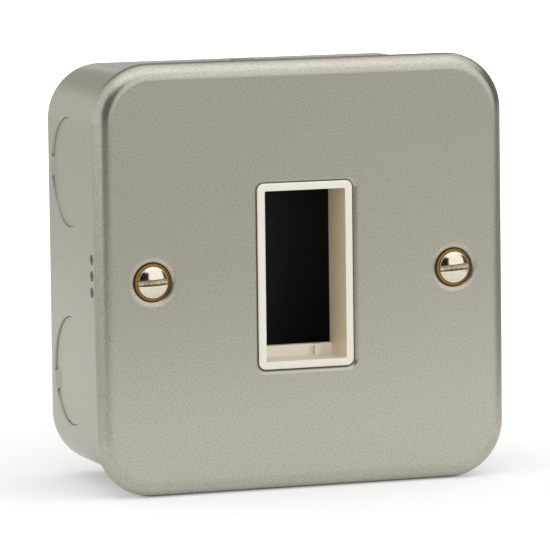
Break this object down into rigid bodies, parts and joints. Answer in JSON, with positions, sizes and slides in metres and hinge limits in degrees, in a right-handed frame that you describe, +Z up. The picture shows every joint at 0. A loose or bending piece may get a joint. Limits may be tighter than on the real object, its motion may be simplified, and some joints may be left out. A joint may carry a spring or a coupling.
{
  "type": "metal back box with front plate",
  "caption": "Pressed steel surface back box with conduit knockouts, closed by a screwed front plate with a snap-in frame for one wiring module.",
  "frame": {"origin": "centre of the back face of the box, in the wall plane, where the wall-fixing slots are centred", "axes": "+X to the right, +Y into the wall, +Z up; the front plate faces -Y"},
  "size_m": [0.0816, 0.0402, 0.0816],
  "materials": {
    "painted_box": "smooth satin grey-beige paint outside, matt black inside",
    "painted_plate": "finely speckled metallic grey-beige paint",
    "ivory_plastic": "satin ivory moulding",
    "plated_screw": "warm nickel plate on a brass screw",
    "zinc_lug": "dull zinc plate",
    "brass": "plain machined brass"
  },
  "bodies": {
    "root": {"back_box": "painted_box", "front_plate": "painted_plate", "module_frame": "ivory_plastic", "screw_left": "plated_screw", "screw_right": "plated_screw", "lug_left": "zinc_lug", "lug_right": "zinc_lug", "earth_terminal": "brass", "earth_screw": "brass"}
  },
  "joints": []
}
